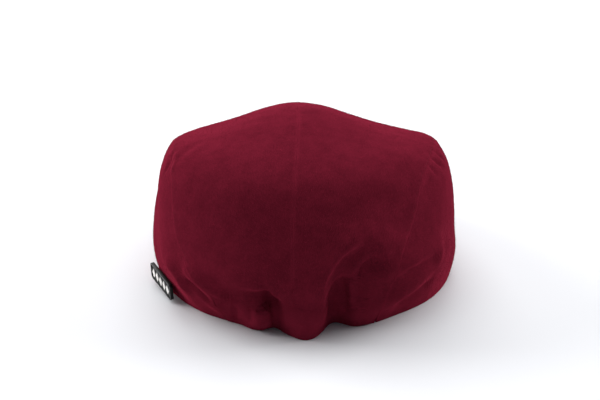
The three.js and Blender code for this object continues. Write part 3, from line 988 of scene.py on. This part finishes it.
def makeWeaveGroup():
    group = bpy.data.node_groups.new("brushed wool", "ShaderNodeTree")
    sockets = {
        "INPUT": {"Deep": "Color", "Nap": "Color", "Seam": "Float"},
        "OUTPUT": {"Color": "Color", "Roughness": "Float", "Height": "Float"},
    }
    for way, kinds in sockets.items():
        for name, kind in kinds.items():
            group.interface.new_socket(name=name, in_out=way, socket_type="NodeSocket" + kind)
    given = addNode(group, "NodeGroupInput").outputs
    place = addNode(group, "ShaderNodeTexCoord").outputs
    turn = (0, 0, math.radians(woolWeave["twillTurn"]))
    turned = addNode(group, "ShaderNodeMapping", {"Vector": place["UV"], "Rotation": turn}).outputs[0]
    ribScale = woolWeave["ribWave"] / (woolWeave["twill"] * mm)
    ribs = addNode(group, "ShaderNodeTexWave", {"Vector": turned, "Scale": ribScale, **woolWeave["ribBend"]},
                   wave_type="BANDS", bands_direction="X").outputs["Fac"]
    across, along = woolWeave["fibre"]
    comb = (1 / (across * mm), 1 / (along * mm), 1)
    combed = addNode(group, "ShaderNodeMapping", {"Vector": place["UV"], "Scale": comb}).outputs[0]
    fibres = noiseNode(group, combed, 1.0, woolWeave["fibreDetail"], **woolWeave["fibreRough"])
    patches = noiseNode(group, place["Object"], 1 / (woolWeave["mottle"] * mm), woolWeave["mottleDetail"],
                        **woolWeave["mottleRough"])
    ribShare = mathNode(group, "MULTIPLY", ribs, woolWeave["ribShare"])
    mixed = mathNode(group, "MULTIPLY_ADD", fibres, woolWeave["fibreShare"], ribShare)
    mixed = mathNode(group, "MULTIPLY_ADD", patches, woolWeave["mottleShare"], mixed)
    mixed = mathNode(group, "SUBTRACT", mixed, woolWeave["darker"])
    share = mathNode(group, "MULTIPLY_ADD", given["Seam"], woolWeave["seamShare"], mixed, clamp=True)
    setInputs(group, addNode(group, "NodeGroupOutput"), {
        "Color": blendNode(group, share, given["Deep"], given["Nap"]),
        "Roughness": mathNode(group, "MULTIPLY_ADD", fibres, *woolWeave["rough"]),
        "Height": mathNode(group, "MULTIPLY_ADD", fibres, woolWeave["fibreHeight"], ribShare),
    })
    return group


def makeWool():
    material, tree, shader = newMaterial("burgundy_wool")
    # the mask lightens the wool with rubbed nap and painted light at the seams and the hem
    seam = addNode(tree, "ShaderNodeAttribute", attribute_name="napAndPaintedLightTone").outputs["Fac"]
    tones = {"Deep": woolWeave["deep"], "Nap": woolWeave["nap"], "Seam": seam}
    weave = addNode(tree, "ShaderNodeGroup", node_tree=makeWeaveGroup())
    setInputs(tree, weave, tones)
    relief = {"Strength": woolWeave["bump"], "Distance": woolWeave["bumpDepth"] * mm}
    bump = addNode(tree, "ShaderNodeBump", {**relief, "Height": weave.outputs["Height"]})
    setInputs(tree, shader, {
        "Base Color": weave.outputs["Color"],
        "Roughness": weave.outputs["Roughness"],
        "Normal": bump.outputs[0],
        "Specular IOR Level": 0.0,
        "Sheen Weight": woolWeave["sheen"],
        "Sheen Roughness": woolWeave["sheenRough"],
        "Sheen Tint": woolWeave["sheenTint"],
    })
    return material


# Single fibres of the nap, which catch more light than the cloth

fibreTint = {"root": woolWeave["deep"], "tip": (0.365, 0.0235, 0.056, 1), "speckle": (700.0, 2.0)}


def makeFibreWool():
    material, tree, shader = newMaterial("burgundy_fibre")
    share = speckle(tree, *fibreTint["speckle"])
    setInputs(tree, shader, {
        "Base Color": blendNode(tree, share, fibreTint["root"], fibreTint["tip"]),
        "Roughness": 1.0,
        "Specular IOR Level": 0.0,
    })
    return material


# Thread of the topstitching

threadTint = {
    "deep": (0.05, 0.002, 0.007, 1),
    "light": (0.15, 0.007, 0.02, 1),
    "twist": (2200.0, 2.0),
    "rough": (0.2, 0.7),
    "specular": 0.1,
}


def makeThread():
    material, tree, shader = newMaterial("burgundy_thread")
    twist = speckle(tree, *threadTint["twist"])
    setInputs(tree, shader, {
        "Base Color": blendNode(tree, twist, threadTint["deep"], threadTint["light"]),
        "Roughness": mathNode(tree, "MULTIPLY_ADD", twist, *threadTint["rough"]),
        "Specular IOR Level": threadTint["specular"],
    })
    return material


# Metal of the badge, rubbed bright on what is raised

badgeMetal = {
    "dark": (0.011, 0.011, 0.011, 1),
    "rubbed": (0.9, 0.87, 0.83, 1),
    "grime": (900.0, 4.0),
    "wear": 0.45,
    "rough": (0.35, 0.2),
    "metallic": 0.7,
}


def makeBadgeMetal():
    material, tree, shader = newMaterial("aged_badge_metal")
    grime = speckle(tree, *badgeMetal["grime"])
    raised = addNode(tree, "ShaderNodeAttribute", attribute_name="relief").outputs["Fac"]
    worn = mathNode(tree, "MULTIPLY", raised, mathNode(tree, "ADD", grime, badgeMetal["wear"]), clamp=True)
    setInputs(tree, shader, {
        "Base Color": blendNode(tree, worn, badgeMetal["dark"], badgeMetal["rubbed"]),
        "Roughness": mathNode(tree, "MULTIPLY_ADD", grime, *badgeMetal["rough"]),
        "Metallic": badgeMetal["metallic"],
    })
    return material


dress([*cloth.values(), peak, *(strip for strip, length in allowances.values())], makeWool())
dress(naps, makeFibreWool())
dress(stitchRows, makeThread())
dress([badge], makeBadgeMetal())
print("materials given")


# Floor, light and background

studio = {
    "floorSize": 9.0,  # m
    "floorTone": (0.68, 0.685, 0.705, 1),
    "floorCloud": (6.0, 2.0),
    "floorRough": (0.1, 0.55),
    "floorSpecular": 0.2,
    "aim": (0, 0.02, 0.05),  # m
    "softboxes": {  # m, m, W
        "key_softbox": {"place": (0.3, -1.6, 1.5), "size": 1.6, "power": 17},
        "overhead_softbox": {"place": (0.0, -0.15, 2.2), "size": 2.2, "power": 36},
        "left_softbox": {"place": (1.5, -0.4, 0.75), "size": 1.2, "power": 37},
        "right_softbox": {"place": (-1.5, -0.5, 0.95), "size": 1.2, "power": 30},
    },
    "skyTone": (0.86, 0.92, 1.0, 1),
    "skyStrength": 0.185,
}


def makeFloor():
    deselectAll()
    bpy.ops.mesh.primitive_plane_add(size=studio["floorSize"])
    floor = bpy.context.object
    floor.name = "studio_floor"
    material, tree, shader = newMaterial("studio_floor_paint")
    cloudy = speckle(tree, *studio["floorCloud"])
    setInputs(tree, shader, {
        "Base Color": studio["floorTone"],
        "Roughness": mathNode(tree, "MULTIPLY_ADD", cloudy, *studio["floorRough"]),
        "Specular IOR Level": studio["floorSpecular"],
    })
    dress([floor], material)


def makeSoftbox(name, box):
    place = Vector(box["place"])
    toward = Vector(studio["aim"]) - place
    deselectAll()
    bpy.ops.object.light_add(type="AREA", location=place, rotation=toward.to_track_quat("-Z", "Y").to_euler())
    lamp = bpy.context.object
    lamp.name = name
    lamp.data.size = box["size"]
    lamp.data.energy = box["power"]


def makeSky():
    world = bpy.data.worlds.new("studio_sky")
    bpy.context.scene.world = world
    world.use_nodes = True
    back = world.node_tree.nodes["Background"]
    back.inputs["Color"].default_value = studio["skyTone"]
    back.inputs["Strength"].default_value = studio["skyStrength"]


makeFloor()
for name, box in studio["softboxes"].items():
    makeSoftbox(name, box)
makeSky()
bpy.context.scene.view_settings.view_transform = "Standard"
print("studio set")


# What each piece stands for

for name, piece in cloth.items():
    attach(piece, "root")
    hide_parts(name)
for strip, length in allowances.values():
    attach(strip, "root")
for piece in [*stitchRows, *naps]:
    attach(piece, "root")
for piece, node, finish in ((peak, "peak", "wool"), (badge, "badge", "badge_metal")):
    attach(piece, "root")
    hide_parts(node)
